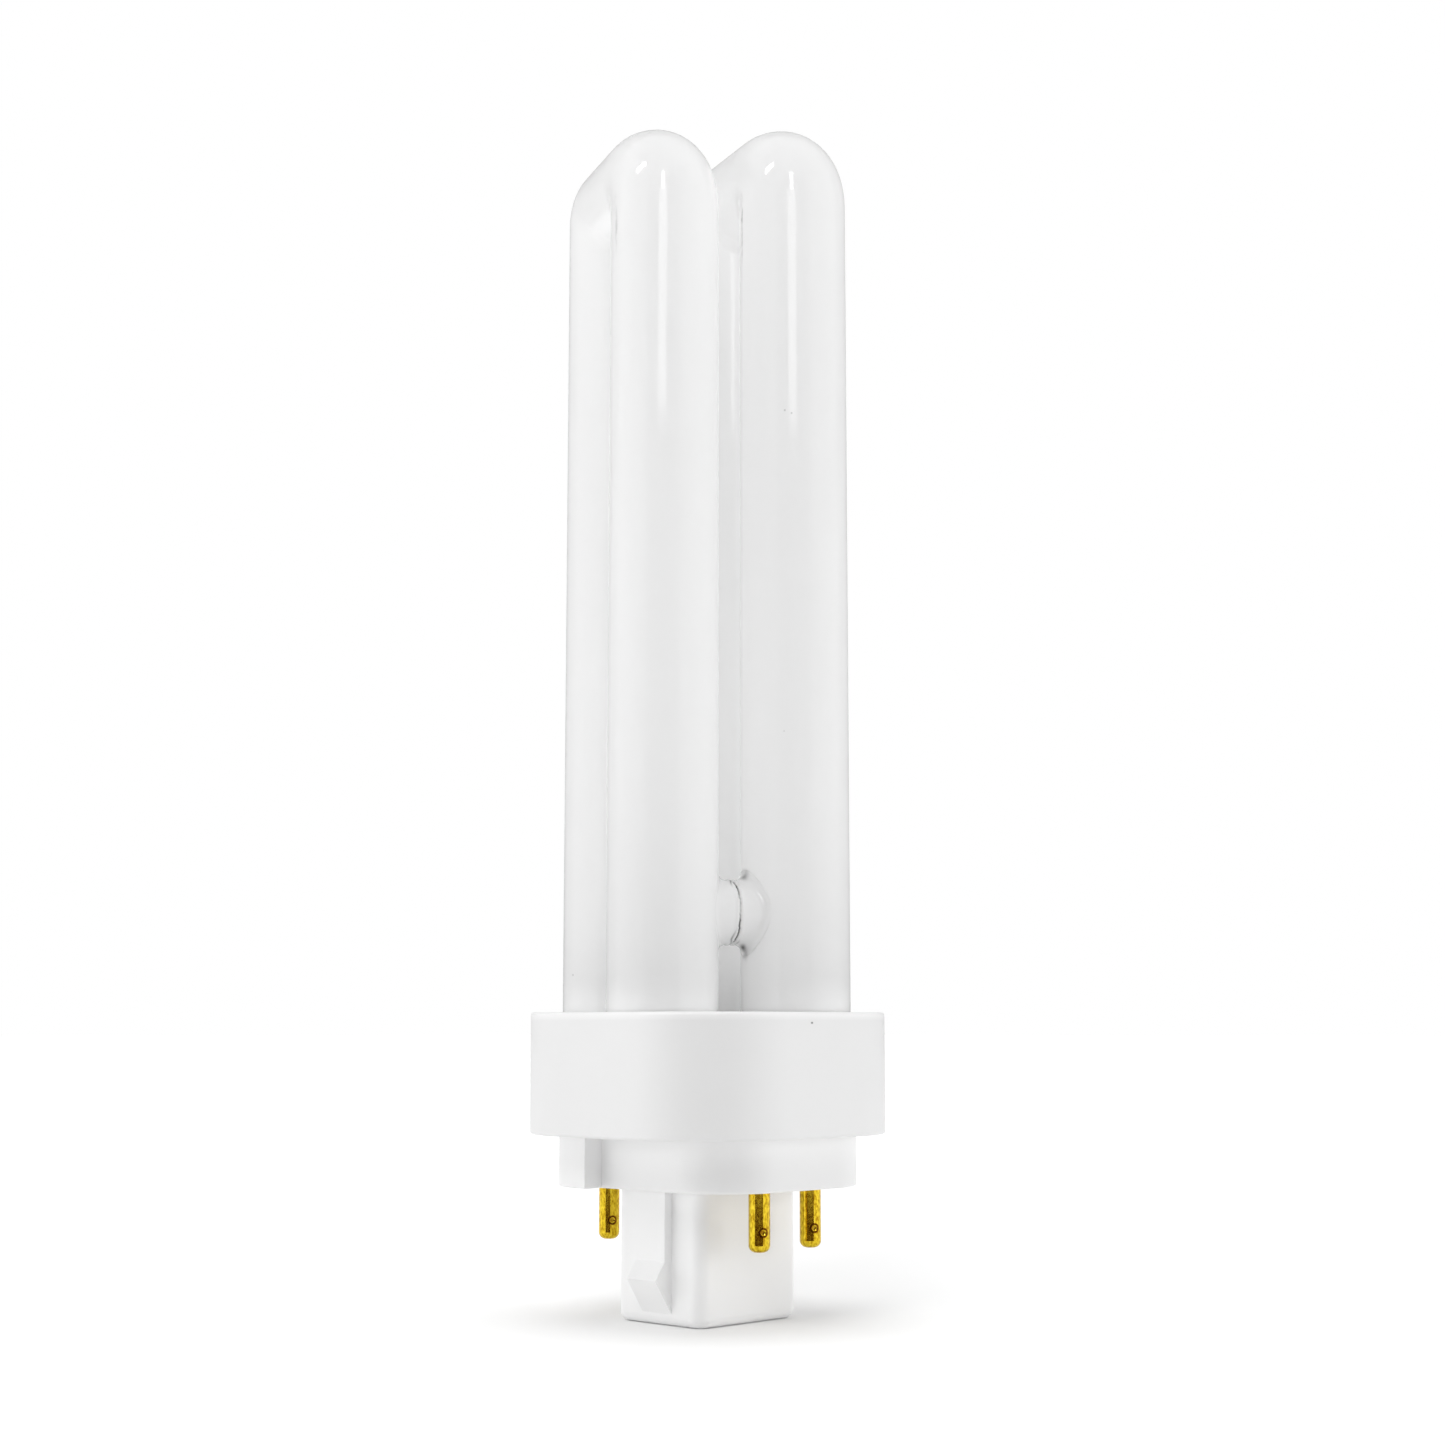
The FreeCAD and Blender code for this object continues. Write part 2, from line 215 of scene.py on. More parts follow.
def add_point_values(piece, name, values):
    """A named value for each point of a piece, which its material can read."""
    piece.data.attributes.new(name, "FLOAT", "POINT").data.foreach_set("value", values)


def bent_tube(front, rear, top_z):
    """Two legs and their bend as one sleeve.

    For each angle round the tube the point runs up the front leg, round a corner, along the
    level run, round a second corner and down the rear leg. That path stands off the tube's
    middle line by R cos(angle), and its corners have the radius bend + R cos(angle), but
    never less than the crotch radius. Each leg closes in a rounded end.
    """
    angle = np.arange(TUBE_AROUND) / TUBE_AROUND * 2 * np.pi
    off = TUBE_R * np.cos(angle)
    across = TUBE_R * np.sin(angle)
    run_z = top_z - TUBE_R + off
    left = -off
    right = LEG_PITCH + off
    room = (right - left) / 2 - CORNER_SPARE
    corners = []
    for bend_r in (FRONT_BEND_R, REAR_BEND_R):
        corner = bend_r + off
        gap = np.sqrt((corner - CROTCH_R) ** 2 + CROTCH_BLEND ** 2)
        corners.append(np.minimum(0.5 * (corner + CROTCH_R + gap), room))
    first, second = corners
    legs = np.linspace(0, 1, LEG_ROWS)[:, None]
    turn = np.linspace(0, np.pi / 2, CORNER_ROWS)[1:-1, None]
    level = np.linspace(0, 1, LEVEL_ROWS)[:, None]
    low = LEG_END_Z + LEG_END_ROUND
    up_z = low + legs * (run_z - first - low)
    up_u = np.broadcast_to(left, up_z.shape)
    first_u = left + first * (1 - np.cos(turn))
    first_z = run_z - first * (1 - np.sin(turn))
    level_u = left + first + level * (right - left - first - second)
    level_z = np.broadcast_to(run_z, level_u.shape)
    second_u = right - second * (1 - np.sin(turn))
    second_z = run_z - second * (1 - np.cos(turn))
    down_z = (low + legs * (run_z - second - low))[::-1]
    down_u = np.broadcast_to(right, down_z.shape)
    u = np.concatenate([up_u, first_u, level_u, second_u, down_u])
    z = np.concatenate([up_z, first_z, level_z, second_z, down_z])
    v = np.broadcast_to(across, u.shape)

    close = np.linspace(0, np.pi / 2, END_ROWS)[:-1, None]
    shrink = (TUBE_R - LEG_END_ROUND * (1 - np.sin(close))) / TUBE_R
    cap_z = np.broadcast_to(low - LEG_END_ROUND * np.cos(close), (END_ROWS - 1, TUBE_AROUND))
    start_u, start_v = -off * shrink, across * shrink
    end_u = LEG_PITCH + off * shrink[::-1]
    u = np.concatenate([start_u, u, end_u])
    v = np.concatenate([start_v, v, across * shrink[::-1]])
    z = np.concatenate([cap_z, z, cap_z[::-1]])

    inward = (rear - front) / np.linalg.norm(rear - front)
    sideways = np.array([-inward[1], inward[0]])
    plan = front + u[..., None] * inward + v[..., None] * sideways
    return closed_sleeve(np.concatenate([plan, z[..., None]], axis=-1), flip=True)


def wander(angle, seed, strength):
    """A smooth closed ripple round a ring: sine waves that weaken with their number.

    Each wave has a seeded phase and a seeded height between the least one and 1.
    """
    chance = np.random.default_rng(seed)
    total = np.zeros_like(angle)
    for count in WANDER_WAVES:
        wave = np.sin(count * angle + chance.uniform(0, 2 * np.pi))
        total += wave * chance.uniform(WANDER_LEAST, 1) / count ** WANDER_FALL
    return total * strength


def bell(distance, width):
    """1 at no distance, fading smoothly over a width."""
    return np.exp(-(distance / width) ** 2)


def round_place(angle, degrees, width):
    """A bell round the ring, its place and width in degrees."""
    return bell((np.degrees(angle) - degrees + 180) % 360 - 180, width)


def bells(angle, places):
    """The sum of several bells round the ring."""
    return sum(strength * round_place(angle, degrees, width)
               for degrees, width, strength in places)


def seam_and_shade(angle, along):
    """How dark the seam's line and the painted shade beside it are on the neck, from 0 to 1.

    A thin dark line down the seam, with knots, a second strand beside its ends, and painted
    shade in the creases over and under the neck on the right leg's side. Each mark is a bell
    across the seam times a bell round the ring, and the line is faint at the neck's back.
    """
    rough = wander(angle, SEAM_LINE_SEED, SEAM_LINE_ROUGHNESS)
    line = np.clip(SEAM_LINE + bells(angle, SEAM_BELLS) + rough, SEAM_LINE_LEAST, 1.0)
    in_front = np.clip(FADE_AT_TOP - FADE_SLOPE * np.sin(angle), 0, 1)
    line = line * (BACK_SHARE + (1 - BACK_SHARE) * in_front)
    dark = line * bell(along, SEAM_LINE_WIDTH)
    waves, sway = STRAND_WAVE
    from_strand = along + STRAND_OFFSET + sway * np.sin(waves * angle)
    dark = dark + bells(angle, STRAND_BELLS) * bell(from_strand, STRAND_WIDTH)
    # Painted shade in the creases over and under the neck
    for degrees, width, place, spread, strength, slant in NECK_CREASE_SHADE:
        middle = place + slant * (degrees - np.degrees(angle))
        dark = dark + strength * round_place(angle, degrees, width) * bell(along - middle, spread)
    return np.clip(dark, 0, 1)


def bridge_neck():
    """The neck between the front legs, with the seam where its two halves were fused.

    A straight tube along the line between the two leg axes. Near each leg its radius grows
    on the arc of a fillet, which is tangent to the neck and to the leg in every plane
    through the neck's axis. It goes on a little along that tangent, so that its shading
    ends like the leg's, and then dives into the leg. A ragged groove runs round the middle.
    """
    angle = np.arange(NECK_AROUND) / NECK_AROUND * 2 * np.pi
    side = np.abs(np.sin(angle))
    reach = TUBE_R + BRIDGE_FILLET
    height = BRIDGE_R + BRIDGE_FILLET
    arc_start = HALF_PITCH - np.sqrt(reach ** 2 - (height * side) ** 2)
    arc_end = HALF_PITCH - (HALF_PITCH - arc_start) * TUBE_R / reach
    straight = np.linspace(0, 1, NECK_ROWS)[:, None] ** NECK_CROWDING
    arc = np.linspace(0, 1, FILLET_ROWS)[1:, None]
    away = np.concatenate([straight * arc_start, arc_start + arc * (arc_end - arc_start)])
    past = np.maximum(away - arc_start, 0)
    radius = height - np.sqrt(np.maximum(BRIDGE_FILLET ** 2 - past ** 2, 0))
    edge, edge_radius = away[-1:], radius[-1:]
    rise = past[-1:] / BRIDGE_FILLET
    run = np.sqrt(np.maximum(1 - rise ** 2, 0))
    away = np.concatenate([away, edge + TANGENT_RUN * run + TANGENT_SINK * rise,
                           edge + BURIED_RUNS[0], edge + BURIED_RUNS[1]])
    radius = np.concatenate([radius, edge_radius + TANGENT_RUN * rise - TANGENT_SINK * run,
                             edge_radius, edge_radius - BURIED_DROP])
    along = np.concatenate([-away[::-1], away[1:]])
    radius = np.concatenate([radius[::-1], radius[1:]])
    groove = bell(along, SEAM_HALF_WIDTH)
    lip = bell(np.abs(along) - LIP_AWAY, LIP_HALF_WIDTH)
    radius = radius + SEAM_LIP * lip - SEAM_DEPTH * groove
    # The seam's dark line and the painted crease shade, for each point
    dark = seam_and_shade(np.broadcast_to(angle, along.shape), along).reshape(-1)
    seam_wave = wander(angle, SEAM_WAVE_SEED, SEAM_WAVE)
    along = along + seam_wave * bell(along, SEAM_WAVE_REACH)
    direction = (FRONT_RIGHT - FRONT_LEFT) / LEG_PITCH
    sideways = np.array([-direction[1], direction[0]])
    middle = (FRONT_LEFT + FRONT_RIGHT) / 2
    plan = middle + along[..., None] * direction + (radius * np.sin(angle))[..., None] * sideways
    z = BRIDGE_Z + radius * np.cos(angle)
    points, faces = closed_sleeve(np.concatenate([plan, z[..., None]], axis=-1), flip=True)
    return points, faces, np.concatenate([dark, [0, 0]])


def pressed_seal(place):
    """The flat closed end below a rear leg: a rounded bar, its section a high-power oval."""
    angle = np.arange(SEAL_AROUND) / SEAL_AROUND * 2 * np.pi
    c, s = np.cos(angle), np.sin(angle)
    x = np.sign(c) * np.abs(c) ** SEAL_POWERS[0] * SEAL_SIZE[0] / 2
    y = np.sign(s) * np.abs(s) ** SEAL_POWERS[1] * SEAL_SIZE[1] / 2
    levels = [(SEAL_BOTTOM_Z, SEAL_EDGE_SHARE), (SEAL_BOTTOM_Z + SEAL_EDGE, 1.0),
              (LEG_END_Z, 1.0), (LEG_END_Z + SEAL_INTO_LEG, 1.0)]
    rings = [np.stack([place[0] + x * share, place[1] + y * share, np.full_like(x, z)], axis=-1)
             for z, share in levels]
    return closed_sleeve(np.array(rings))


# Material nodes

# Sockets of a Mix node that are used when it mixes colours
MIX_FIRST, MIX_SECOND, MIX_RESULT = 6, 7, 2


def new_material(name):
    """An empty node material: itself, its node tree and its Principled shader."""
    material = bpy.data.materials.new(name)
    material.use_nodes = True
    nodes = material.node_tree.nodes
    return material, material.node_tree, nodes["Principled BSDF"]


def add_node(tree, kind, **settings):
    """A node with its inputs, or its own settings, filled in by name."""
    node = tree.nodes.new(kind)
    for name, value in settings.items():
        if name in node.inputs:
            node.inputs[name].default_value = value
        else:
            setattr(node, name, value)
    return node


def wire(tree, source, target):
    """Link an output socket to an input socket."""
    tree.links.new(source, target)


def surface(tree, source):
    """Make a shader socket the material's surface."""
    wire(tree, source, tree.nodes["Material Output"].inputs["Surface"])


def object_place(tree):
    """The place on the object, which is the place in the CAD frame, in metres."""
    return add_node(tree, "ShaderNodeTexCoord").outputs["Object"]


def object_height(tree):
    """Height above the foot, in metres."""
    parts = add_node(tree, "ShaderNodeSeparateXYZ")
    wire(tree, object_place(tree), parts.inputs["Vector"])
    return parts.outputs["Z"]


def calculate(tree, operation, first, second):
    """A Math node on two sockets."""
    node = add_node(tree, "ShaderNodeMath", operation=operation)
    wire(tree, first, node.inputs[0])
    wire(tree, second, node.inputs[1])
    return node.outputs[0]


def move_range(tree, value, source, target, **settings):
    """A value carried from one (start, end) range to another, and held at its ends."""
    node = add_node(tree, "ShaderNodeMapRange", **settings)
    wire(tree, value, node.inputs["Value"])
    names = ("From Min", "From Max", "To Min", "To Max")
    for name, number in zip(names, (*source, *target)):
        node.inputs[name].default_value = number
    return node.outputs["Result"]


def vector_step(tree, operation, source, by):
    """A Vector Math node on a socket and either a socket or a fixed vector: the node."""
    node = add_node(tree, "ShaderNodeVectorMath", operation=operation)
    wire(tree, source, node.inputs[0])
    if isinstance(by, tuple):
        node.inputs[1].default_value = by
    elif by is not None:
        wire(tree, by, node.inputs[1])
    return node


def noise_on_object(tree, scale, detail=3.0, roughness=0.5, stretch=(1, 1, 1)):
    """Noise on the Object coordinates, drawn out along an axis where stretch is under 1."""
    mapping = add_node(tree, "ShaderNodeMapping")
    mapping.inputs["Scale"].default_value = stretch
    wire(tree, object_place(tree), mapping.inputs["Vector"])
    noise = add_node(tree, "ShaderNodeTexNoise", Scale=scale, Detail=detail, Roughness=roughness)
    wire(tree, mapping.outputs["Vector"], noise.inputs["Vector"])
    return noise.outputs["Fac"]


def grey(value):
    """A plain grey."""
    return (value, value, value)


def ramp(tree, source, stops):
    """A colour ramp through (position, colour) stops."""
    node = add_node(tree, "ShaderNodeValToRGB")
    elements = node.color_ramp.elements
    while len(elements) < len(stops):
        elements.new(0.5)
    for element, (position, colour) in zip(elements, stops):
        element.position = position
        element.color = (*colour, 1)
    wire(tree, source, node.inputs["Fac"])
    return node.outputs["Color"]


def add_bump(tree, shader, height, distance, onto=("Normal",)):
    """A bump from a height socket onto the shader's normals."""
    bump = add_node(tree, "ShaderNodeBump", Strength=1.0, Distance=distance)
    wire(tree, height, bump.inputs["Height"])
    for socket in onto:
        wire(tree, bump.outputs["Normal"], shader.inputs[socket])


def mark_and_shade_colour(tree, share, clean, colour):
    """A colour socket that turns to a fixed colour as the share rises to 1."""
    mix = add_node(tree, "ShaderNodeMix", data_type="RGBA")
    wire(tree, share, mix.inputs["Factor"])
    wire(tree, clean, mix.inputs[MIX_FIRST])
    mix.inputs[MIX_SECOND].default_value = (*colour, 1)
    return mix.outputs[MIX_RESULT]


def specks_and_shade(tree, places):
    """How strongly small dark marks darken a place, from 0 to 1: specks, and painted shade in
    creases.

    Each mark is an upright oval (x, y, z, half width, half height, strength), lengths in
    millimetres, that fades out smoothly from its middle. The strongest one counts.
    """
    place = object_place(tree)
    strongest = None
    for x, y, z, half_width, half_height, strength in places:
        away = vector_step(tree, "SUBTRACT", place, (x * MM, y * MM, z * MM))
        oval = (half_width * MM, half_width * MM, half_height * MM)
        share = vector_step(tree, "DIVIDE", away.outputs[0], oval)
        length = vector_step(tree, "LENGTH", share.outputs[0], None).outputs["Value"]
        mark = move_range(tree, length, (0, 1), (strength, 0), interpolation_type="SMOOTHSTEP")
        strongest = mark if strongest is None else calculate(tree, "MAXIMUM", strongest, mark)
    return strongest


# Materials

# Point values for the seam's dark line and the painted crease shade by the neck
SEAM_AND_SHADE = "seam_and_shade"
NECK = "neck"
# Dark colour of the seam's line, the specks and the painted crease shade
SEAM_SPECK_AND_SHADE_COLOUR = (0.016, 0.015, 0.014)
COATING_WHITES = (0.955, 0.97)
COATING_THROUGH = 0.44
NECK_THROUGH = 0.25
COATING_STARTS_Z = 0.0325
COATING_FULL_Z = 0.0365
GLASS_RIPPLE = 0.00012
# Painted shade in the creases and crotches of the bends, as dark ovals
BEND_CREASE_SHADE = [
    (-16.1, -1.4, 121.6, 0.75, 1.8, 0.10),
    (-16.25, -1.7, 118.8, 0.5, 3.8, 0.22),
    (-1.7, -6.9, 124.4, 0.7, 1.4, 0.16),
    (-1.78, -7.06, 122.5, 0.45, 1.6, 0.65),
    (-1.78, -7.05, 119.8, 0.45, 3.8, 0.36),
    (-6.95, -8.28, 119.6, 0.5, 2.6, 0.22),
]
GLASS_SPECKS = [
    (-1.51, -13.27, 98.85, 0.16, 0.16, 0.40),
    (-1.08, -13.88, 98.5, 0.16, 0.16, 0.36),
    (-1.64, -13.10, 63.23, 0.12, 0.12, 0.30),
    (-9.98, 11.25, 37.25, 0.17, 0.17, 0.42),
]
COLLAR_SPECKS = [(-1.82, -17.10, 31.95, 0.27, 0.17, 1.0)]


def glass_colour(tree):
    """White of the coating with the seam's dark line, painted shade in the creases of the bends
    and by the neck, and dark specks.
    """
    cloud = noise_on_object(tree, 60, detail=4, stretch=(1, 1, 0.25))
    clean = ramp(tree, cloud, [(0.3, grey(COATING_WHITES[0])), (0.7, grey(COATING_WHITES[1]))])
    ragged = ramp(tree, noise_on_object(tree, 2200, detail=2, stretch=(1, 1, 0.5)),
                  [(0.38, grey(0.25)), (0.58, grey(1.0))])
    # Painted shade in the creases of the bends, made ragged by noise
    crease_shade = calculate(tree, "MULTIPLY", ragged, specks_and_shade(tree, BEND_CREASE_SHADE))
    specks_and_crease_shade = calculate(tree, "MAXIMUM", crease_shade, specks_and_shade(tree, GLASS_SPECKS))
    seam_and_shade_node = add_node(tree, "ShaderNodeAttribute", attribute_name=SEAM_AND_SHADE)
    dark = calculate(tree, "MAXIMUM", seam_and_shade_node.outputs["Fac"], specks_and_crease_shade)
    return mark_and_shade_colour(tree, dark, clean, SEAM_SPECK_AND_SHADE_COLOUR)


def coated_glass():
    """Glossy clear glass with a white coating inside that scatters light and passes some.

    The share that passes falls off towards the collar and is lower on the neck, which
    stands over the legs' own walls.
    """
    material, tree, shader = new_material("coated_glass")
    colour = glass_colour(tree)
    wire(tree, colour, shader.inputs["Base Color"])
    shader.inputs["Roughness"].default_value = 0.5
    shader.inputs["Specular IOR Level"].default_value = 0.0
    shader.inputs["Coat Weight"].default_value = 1.0
    shader.inputs["Coat Roughness"].default_value = 0.06
    shader.inputs["Coat IOR"].default_value = 1.5
    ripple = noise_on_object(tree, 90, detail=2, stretch=(1, 1, 0.35))
    add_bump(tree, shader, ripple, GLASS_RIPPLE, onto=("Normal", "Coat Normal"))
    through = add_node(tree, "ShaderNodeBsdfTranslucent")
    wire(tree, colour, through.inputs["Color"])
    share = move_range(tree, object_height(tree), (COATING_STARTS_Z, COATING_FULL_Z),
                       (0, COATING_THROUGH))
    on_neck = add_node(tree, "ShaderNodeAttribute", attribute_name=NECK).outputs["Fac"]
    neck_share = move_range(tree, on_neck, (0, 1), (1, NECK_THROUGH))
    both = add_node(tree, "ShaderNodeMixShader")
    wire(tree, calculate(tree, "MULTIPLY", share, neck_share), both.inputs["Fac"])
    wire(tree, shader.outputs["BSDF"], both.inputs[1])
    wire(tree, through.outputs["BSDF"], both.inputs[2])
    surface(tree, both.outputs["Shader"])
    return material


PLASTIC_CHANGE = 0.0003
PLASTIC_CLOUD = (0.985, 1.0)
PLASTIC_ROUGHNESS = (0.36, 0.44)
PLASTIC_GRAIN = 0.000012


def white_plastic(name, change_z, whites, specks=()):
    """Moulded white plastic with a satin surface and a very fine moulded grain.

    Its white has one level below a height in metres and another above it: painted light, a lighter
    and a darker copy of the same white.
    """
    material, tree, shader = new_material(name)
    cloud = noise_on_object(tree, 45, detail=3)
    tint = ramp(tree, cloud, [(0.3, grey(PLASTIC_CLOUD[0])), (0.7, grey(PLASTIC_CLOUD[1]))])
    change = (change_z - PLASTIC_CHANGE, change_z + PLASTIC_CHANGE)
    # Painted light: one band of the moulding is painted lighter than the other
    level = move_range(tree, object_height(tree), change, whites)
    colour = vector_step(tree, "MULTIPLY", tint, level).outputs[0]
    if specks:
        colour = mark_and_shade_colour(tree, specks_and_shade(tree, specks), colour, SEAM_SPECK_AND_SHADE_COLOUR)
    wire(tree, colour, shader.inputs["Base Color"])
    patches = noise_on_object(tree, 300, detail=2)
    satin = ramp(tree, patches, [(0.3, grey(PLASTIC_ROUGHNESS[0])),
                                 (0.7, grey(PLASTIC_ROUGHNESS[1]))])
    wire(tree, satin, shader.inputs["Roughness"])
    add_bump(tree, shader, noise_on_object(tree, 2600, detail=2), PLASTIC_GRAIN)
    return material


BRASS_TONES = [(0.34, (0.42, 0.23, 0.008)), (0.5, (0.68, 0.47, 0.024)),
               (0.66, (0.84, 0.63, 0.045))]
DIMPLE_RING_COLOUR = (0.16, 0.05, 0.004)
BRASS_GRAIN = 0.000003
# Darker rings against the distance from the dimple's middle, in millimetres
DIMPLE_RINGS = [(0.18, grey(0.0)), (0.27, grey(0.75)), (0.33, grey(0.0)),
                (0.38, grey(1.0)), (0.49, grey(1.0)), (0.58, grey(0.0))]


def from_dimple(tree):
    """Distance from the crimp dimple of the nearest pin, in metres.

    The pins stand at the four corners of one rectangle, so the sign of the plan position
    gives the nearest pin, and what is left after its place is the same for all four.
    """
    place = object_place(tree)
    corner = vector_step(tree, "SIGN", place, None).outputs[0]
    half = (PIN_RECTANGLE[0] / 2 * MM, PIN_RECTANGLE[1] / 2 * MM, 0)
    pin = vector_step(tree, "MULTIPLY", corner, half).outputs[0]
    local = vector_step(tree, "SUBTRACT", place, pin).outputs[0]
    side = turned(PIN_R, 0, DIMPLE_TURN) * MM
    return vector_step(tree, "DISTANCE", local, (side[0], side[1], DIMPLE_Z * MM)).outputs["Value"]


def pin_brass():
    """Drawn brass, polished, mottled along the pin and darker in rings round its dimple."""
    material, tree, shader = new_material("pin_brass")
    marks = noise_on_object(tree, 4200, detail=3, stretch=(1, 1, 0.5))
    millimetres = move_range(tree, from_dimple(tree), (0, MM), (0, 1))
    dimple_rings = ramp(tree, millimetres, DIMPLE_RINGS)
    colour = mark_and_shade_colour(tree, dimple_rings, ramp(tree, marks, BRASS_TONES), DIMPLE_RING_COLOUR)
    wire(tree, colour, shader.inputs["Base Color"])
    shader.inputs["Metallic"].default_value = 1.0
    shader.inputs["Roughness"].default_value = 0.13
    add_bump(tree, shader, marks, BRASS_GRAIN)
    return material


def lamp_cement():
    """Cast grey-white cement."""
    material, tree, shader = new_material("cement")
    lumps = noise_on_object(tree, 900, detail=6, roughness=0.65)
    colour = ramp(tree, lumps, [(0.3, (0.55, 0.53, 0.49)), (0.7, (0.74, 0.72, 0.68))])
    wire(tree, colour, shader.inputs["Base Color"])
    shader.inputs["Roughness"].default_value = 0.9
    add_bump(tree, shader, lumps, 0.0002)
    return material


def nickel_wire():
    """Plain drawn nickel wire."""
    material, tree, shader = new_material("wire")
    marks = noise_on_object(tree, 1500, detail=2)
    colour = ramp(tree, marks, [(0.3, (0.52, 0.50, 0.47)), (0.7, (0.66, 0.64, 0.61))])
    wire(tree, colour, shader.inputs["Base Color"])
    shader.inputs["Metallic"].default_value = 1.0
    shader.inputs["Roughness"].default_value = 0.35
    return material


# Heights in metres where a moulding's white changes, and its white below and above them. This is
# painted light: the collar's top edge and top are painted lighter than its sides, the post lighter
# than the skirt against the shade near the floor, and the whole base lighter than the collar
# against the shade under it
COLLAR_LIT_TOP_Z = 0.0325
COLLAR_SIDE_AND_LIT_TOP_WHITES = (0.86, 0.95)
SKIRT_FOOT_Z = 0.0140
BASE_LIT_POST_AND_SKIRT_WHITES = (0.97, 0.925)
GLASS = coated_glass()
BRASS = pin_brass()
WIRE_MATERIAL = nickel_wire()
NODE_MATERIALS = {
    "discharge_tube": GLASS,
    "collar": white_plastic("collar_plastic", COLLAR_LIT_TOP_Z, COLLAR_SIDE_AND_LIT_TOP_WHITES, COLLAR_SPECKS),
    "base_cap": white_plastic("base_plastic", SKIRT_FOOT_Z, BASE_LIT_POST_AND_SKIRT_WHITES),
    "tube_cement": lamp_cement(),
}
for number in range(1, 5):
    NODE_MATERIALS["contact_pin_%d" % number] = BRASS
    NODE_MATERIALS["lead_wire_%d" % number] = WIRE_MATERIAL
for name, material in NODE_MATERIALS.items():
    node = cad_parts[name]
    node.data.materials.clear()
    node.data.materials.append(material)


# Pieces

neck_points, neck_faces, neck_seam_and_shade = bridge_neck()
vessel_points, vessel_faces = join_shells([
    (neck_points, neck_faces),
    bent_tube(FRONT_LEFT, REAR_LEFT, LEFT_TOP_Z),
    bent_tube(FRONT_RIGHT, REAR_RIGHT, RIGHT_TOP_Z),
    pressed_seal(REAR_LEFT),
    pressed_seal(REAR_RIGHT),
])
vessel = make_piece("glass_vessel", vessel_points, vessel_faces, GLASS)
# The seam's dark line and painted crease shade, read by the glass material
vessel_seam_and_shade = np.zeros(len(vessel_points))
vessel_seam_and_shade[:len(neck_seam_and_shade)] = neck_seam_and_shade
add_point_values(vessel, SEAM_AND_SHADE, vessel_seam_and_shade)
add_point_values(vessel, NECK, (np.arange(len(vessel_points)) < len(neck_seam_and_shade)).astype(float))
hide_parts("discharge_tube")


# Studio, in metres

FLOOR_REACH = 6.0
FLOOR_WHITE = 0.94
# The floor is lifted to white for the eye: more with the distance, and less at the foot, which
# paints the floor's shadow darker round the foot
FLOOR_LIFT_AREA = (0.04, 0.5)
FLOOR_LIFT = (0.14, 0.5)
FOOT_SHADOW_AREA = (0.012, 0.026)
FOOT_SHADOW_LIFT = 0.2
WORLD_LIGHT = 0.58
AIM_HEIGHT = 0.07
# Upright cards as (half width, how far towards the camera, height)
BLACK_CARD = (1.15, 1.6, 1.6)
BLACK_CARD_LEVEL = 0.02
RIM_CARD = (2.4, -0.8, 1.8)
GREY_CARD_LEVEL = 0.25
# Card on the floor: two distances from the foot, and its half widths as shares of them
BROWN_CARD_COLOUR = (0.10, 0.045, 0.015)
PIN_CARD_NEAR = 0.045
PIN_CARD_FAR = 0.24
PIN_CARD_LEFT = 0.95
PIN_CARD_RIGHT = 0.8
PIN_CARD_Z = 0.0002


def studio_place(right, towards, up):
    """A place given to the camera's right, towards the camera and up, in metres."""
    plan = CAMERA_RIGHT * right + TOWARDS_CAMERA * towards
    return (plan[0], plan[1], up)


def stage_plane(name, corners, material):
    """A flat stage piece from its four corners."""
    mesh = bpy.data.meshes.new(name)
    mesh.from_pydata(corners, [], [[0, 1, 2, 3]])
    mesh.materials.append(material)
    plane = bpy.data.objects.new(name, mesh)
    bpy.context.scene.collection.objects.link(plane)
    return plane


def upright_card(name, size, material):
    """A card that stands across the view, and that the camera doesn't see."""
    half_width, towards, height = size
    card = stage_plane(name, [studio_place(-half_width, towards, 0.0),
                              studio_place(half_width, towards, 0.0),
                              studio_place(half_width, towards, height),
                              studio_place(-half_width, towards, height)], material)
    card.visible_camera = False
    return card


def show_in_gloss_only(card):
    """Hide a card from everything but glossy reflections."""
    card.visible_camera = False
    card.visible_diffuse = False
    card.visible_shadow = False
    card.visible_transmission = False


def seen_directly(tree):
    """1 for a ray from the camera, from a gloss or through the coating, else 0."""
    path = add_node(tree, "ShaderNodeLightPath")
    seen = path.outputs["Is Camera Ray"]
    for kind in ("Is Glossy Ray", "Is Transmission Ray"):
        seen = calculate(tree, "MAXIMUM", seen, path.outputs[kind])
    return seen


def floor_material():
    """White floor: plain diffuse to light, and with the share that makes it white to the eye,
    least round the foot, where it paints the shadow darker.
    """
    material, tree, shader = new_material("floor")
    shader.inputs["Base Color"].default_value = (*grey(FLOOR_WHITE), 1)
    shader.inputs["Roughness"].default_value = 1.0
    shader.inputs["Specular IOR Level"].default_value = 0.0
    away = vector_step(tree, "LENGTH", object_place(tree), None).outputs["Value"]
    level = move_range(tree, away, FLOOR_LIFT_AREA, FLOOR_LIFT)
    # Painted shadow: the lift falls to a small share close to the foot
    painted_foot_shadow = move_range(tree, away, FOOT_SHADOW_AREA, (FOOT_SHADOW_LIFT, 1))
    lift = calculate(tree, "MULTIPLY", level, painted_foot_shadow)
    glow = add_node(tree, "ShaderNodeEmission")
    wire(tree, calculate(tree, "MULTIPLY", seen_directly(tree), lift), glow.inputs["Strength"])
    both = add_node(tree, "ShaderNodeAddShader")
    wire(tree, shader.outputs["BSDF"], both.inputs[0])
    wire(tree, glow.outputs["Emission"], both.inputs[1])
    surface(tree, both.outputs["Shader"])
    return material


